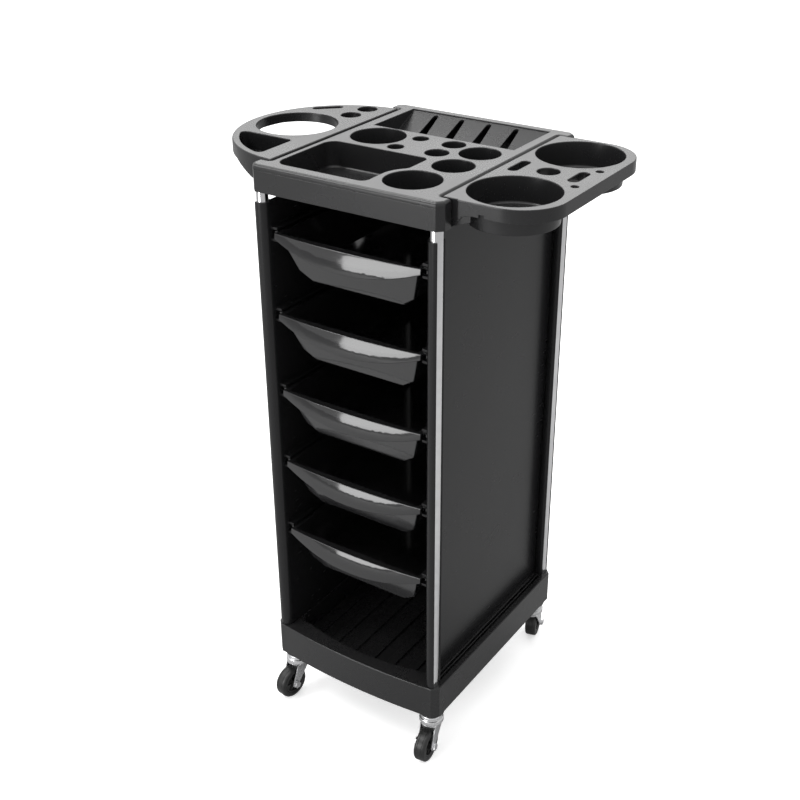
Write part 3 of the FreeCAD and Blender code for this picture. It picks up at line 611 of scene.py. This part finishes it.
upright_to_y = Matrix.Rotation(math.radians(-90), 4, "X")
for corner in corner_names:
    cap_low, cap_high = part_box("caster_cap_" + corner)
    hub_low, hub_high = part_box("caster_hub_" + corner)
    swivel = (cap_low + cap_high) / 2
    hub_centre = (hub_low + hub_high) / 2
    heading = math.atan2(hub_centre.y - swivel.y, hub_centre.x - swivel.x)
    turned = Matrix.Rotation(heading, 4, "Z")
    at_swivel = Matrix.Translation((swivel.x, swivel.y, 0)) @ turned
    at_wheel = Matrix.Translation(hub_centre) @ turned @ upright_to_y
    caster, wheel = "caster_" + corner, "wheel_" + corner

    cap = new_piece("caster_cap_shell_" + corner, lathe(cap_profile, swivel), zinc)
    place_piece(cap, caster, "zinc_steel", "caster_cap_" + corner)

    fork = new_piece("fork_pressing_" + corner, fork_mesh(), zinc)
    thicken = fork.modifiers.new("sheet", "SOLIDIFY")
    thicken.thickness = fork_sheet
    thicken.offset = 0.0
    ease = fork.modifiers.new("eased edges", "BEVEL")
    ease.width = fork_edge
    ease.segments = 2
    ease.limit_method = "ANGLE"
    plain_mesh(fork)
    fork.data.transform(at_swivel)
    place_piece(fork, caster, "zinc_steel", "caster_fork_" + corner)

    ball = ball_mesh(ball_radius)
    ball_ring = ring_of("ball_race_" + corner, ball, ball_count, race_radius, zinc)
    ball_ring.data.transform(Matrix.Translation((swivel.x, swivel.y, race_height)))
    place_piece(ball_ring, caster, "zinc_steel", "caster_balls_" + corner)

    head = stud_mesh(bolt_head_from, bolt_head_to, bolt_across_flats, bolt_dome)
    bolt_head = new_piece("bolt_head_" + corner, head, zinc)
    bolt_head.data.transform(Matrix.Translation(hub_centre) @ turned)
    place_piece(bolt_head, caster, "zinc_steel")
    moulding("caster_axle_" + corner, "axle_" + corner, zinc, caster)
    moulding("caster_nut_" + corner, "nut_" + corner, zinc, caster)
    moulding("caster_stem_" + corner, "stem_" + corner, zinc, "cabinet")
    moulding("caster_sleeve_" + corner, "sleeve_" + corner, satin_black, "cabinet")

    tyre = new_piece("tyre_" + corner, lathe(tyre_profile, (0, 0)), tyre_black)
    tyre.data.transform(at_wheel)
    place_piece(tyre, wheel, "tyre", "caster_tyre_" + corner)
    hub = new_piece("hub_" + corner, lathe(hub_profile, (0, 0), hub_segments), hub_black)
    hub.data.transform(at_wheel)
    place_piece(hub, wheel, "wheel_hub", "caster_hub_" + corner)
    for side, face in ((1, "outer"), (-1, "inner")):
        rib = bar_mesh(*rib_reach, rib_half_width, rib_foot, rib_top)
        ribs = ring_of(f"hub_ribs_{face}_{corner}", rib, rib_count, 0.0, hub_black)
        if side < 0:
            ribs.data.transform(Matrix.Rotation(math.pi, 4, "X"))
        ribs.data.transform(at_wheel)
        place_piece(ribs, wheel, "wheel_hub")

# ------------------------------------------------------------ studio
# A pale floor that runs out of sight, a white surround and soft lights. The pieces mirror the
# floor and the surround a little darker than the camera sees them, as in a studio tent.
floor_reach = 12.0
floor_tone, mirrored_tone = 0.9, 0.42    # as seen directly, and as the pieces mirror it
floor_mesh = bpy.data.meshes.new("floor")
floor_mesh.from_pydata([(x * floor_reach, y * floor_reach, 0)
                        for x, y in ((-1, -1), (1, -1), (1, 1), (-1, 1))], [], [(0, 1, 2, 3)])
floor_material = bpy.data.materials.new("pale floor")
floor_material.use_nodes = True
floor_tree = floor_material.node_tree
floor_shader = floor_tree.nodes["Principled BSDF"]
floor_shader.inputs["Roughness"].default_value = 0.9
floor_shader.inputs["Specular IOR Level"].default_value = 0.1
floor_shader.inputs["Emission Color"].default_value = (1, 1, 1, 1)
floor_rays = add_node(floor_tree, "LightPath")
floor_colour = add_node(floor_tree, "Mix", {
    0: floor_rays.outputs["Is Glossy Ray"],
    6: (floor_tone, floor_tone, floor_tone, 1),
    7: (mirrored_tone, mirrored_tone, mirrored_tone, 1),
}, data_type="RGBA")
floor_glow = calc(floor_tree, "MULTIPLY", floor_rays.outputs["Is Camera Ray"], 0.45)
floor_tree.links.new(floor_colour.outputs[2], floor_shader.inputs["Base Color"])
floor_tree.links.new(floor_glow, floor_shader.inputs["Emission Strength"])
floor = new_piece("floor", floor_mesh, floor_material)

world = bpy.data.worlds.new("studio")
world.use_nodes = True
sky = world.node_tree
sky.nodes.clear()
sky_strength, mirrored_sky = 1.0, 0.85
sky_rays = add_node(sky, "LightPath")
shade = add_node(sky, "Mix", {
    0: sky_rays.outputs["Is Glossy Ray"], 2: sky_strength, 3: mirrored_sky}, data_type="FLOAT")
around = add_node(sky, "Background", {"Color": (1, 1, 1, 1), "Strength": shade.outputs[0]})
end = sky.nodes.new("ShaderNodeOutputWorld")
sky.links.new(around.outputs[0], end.inputs[0])
bpy.context.scene.world = world
bpy.context.scene.view_settings.view_transform = "Standard"


def soft_light(name, place, target, width, height, power):
    """Rectangular soft lamp at a place, turned to its target."""
    light = bpy.data.lights.new(name, "AREA")
    light.shape = "RECTANGLE"
    light.size = width
    light.size_y = height
    light.energy = power
    obj = bpy.data.objects.new(name, light)
    bpy.context.scene.collection.objects.link(obj)
    obj.location = place
    obj.rotation_euler = (Vector(target) - Vector(place)).to_track_quat("-Z", "Y").to_euler()


soft_light("overhead", (-0.3, -0.2, 3.4), (0, 0, 0.5), 3.0, 3.0, 30)
soft_light("key", (-1.5, -1.5, 2.8), (0, 0, 0.6), 0.9, 0.9, 26)
soft_light("rack light", (-1.24, 0.35, 3.0), (0, 0.12, 0.84), 0.7, 0.7, 14)
soft_light("back softbox", (-1.9, 2.8, 2.6), (0, 0, 0.86), 2.6, 1.6, 29)
soft_light("front softbox", (-0.9, -2.5, 0.82), (0, -0.15, 0.55), 1.1, 1.3, 26)

# The camera looks down at the trolley from its front right.
azimuth, elevation, roll = math.radians(34.0), math.radians(28.19), math.radians(-0.41)
target = Vector((-0.03175, 0.0, 0.47628))
distance = 1.80597
sensor_width, focal_length = 36.0, 55.456
backward = Vector((math.sin(azimuth) * math.cos(elevation),
                   -math.cos(azimuth) * math.cos(elevation), math.sin(elevation)))
right = Vector((math.cos(azimuth), math.sin(azimuth), 0.0))
upward = backward.cross(right)
right, upward = (right * math.cos(roll) + upward * math.sin(roll),
                 -right * math.sin(roll) + upward * math.cos(roll))
camera = bpy.data.objects.new("camera", bpy.data.cameras.new("camera"))
camera.data.sensor_width = sensor_width
camera.data.lens = focal_length
camera.matrix_world = Matrix((
    (right.x, upward.x, backward.x, target.x + backward.x * distance),
    (right.y, upward.y, backward.y, target.y + backward.y * distance),
    (right.z, upward.z, backward.z, target.z + backward.z * distance),
    (0, 0, 0, 1)))
bpy.context.scene.collection.objects.link(camera)
bpy.context.scene.camera = camera
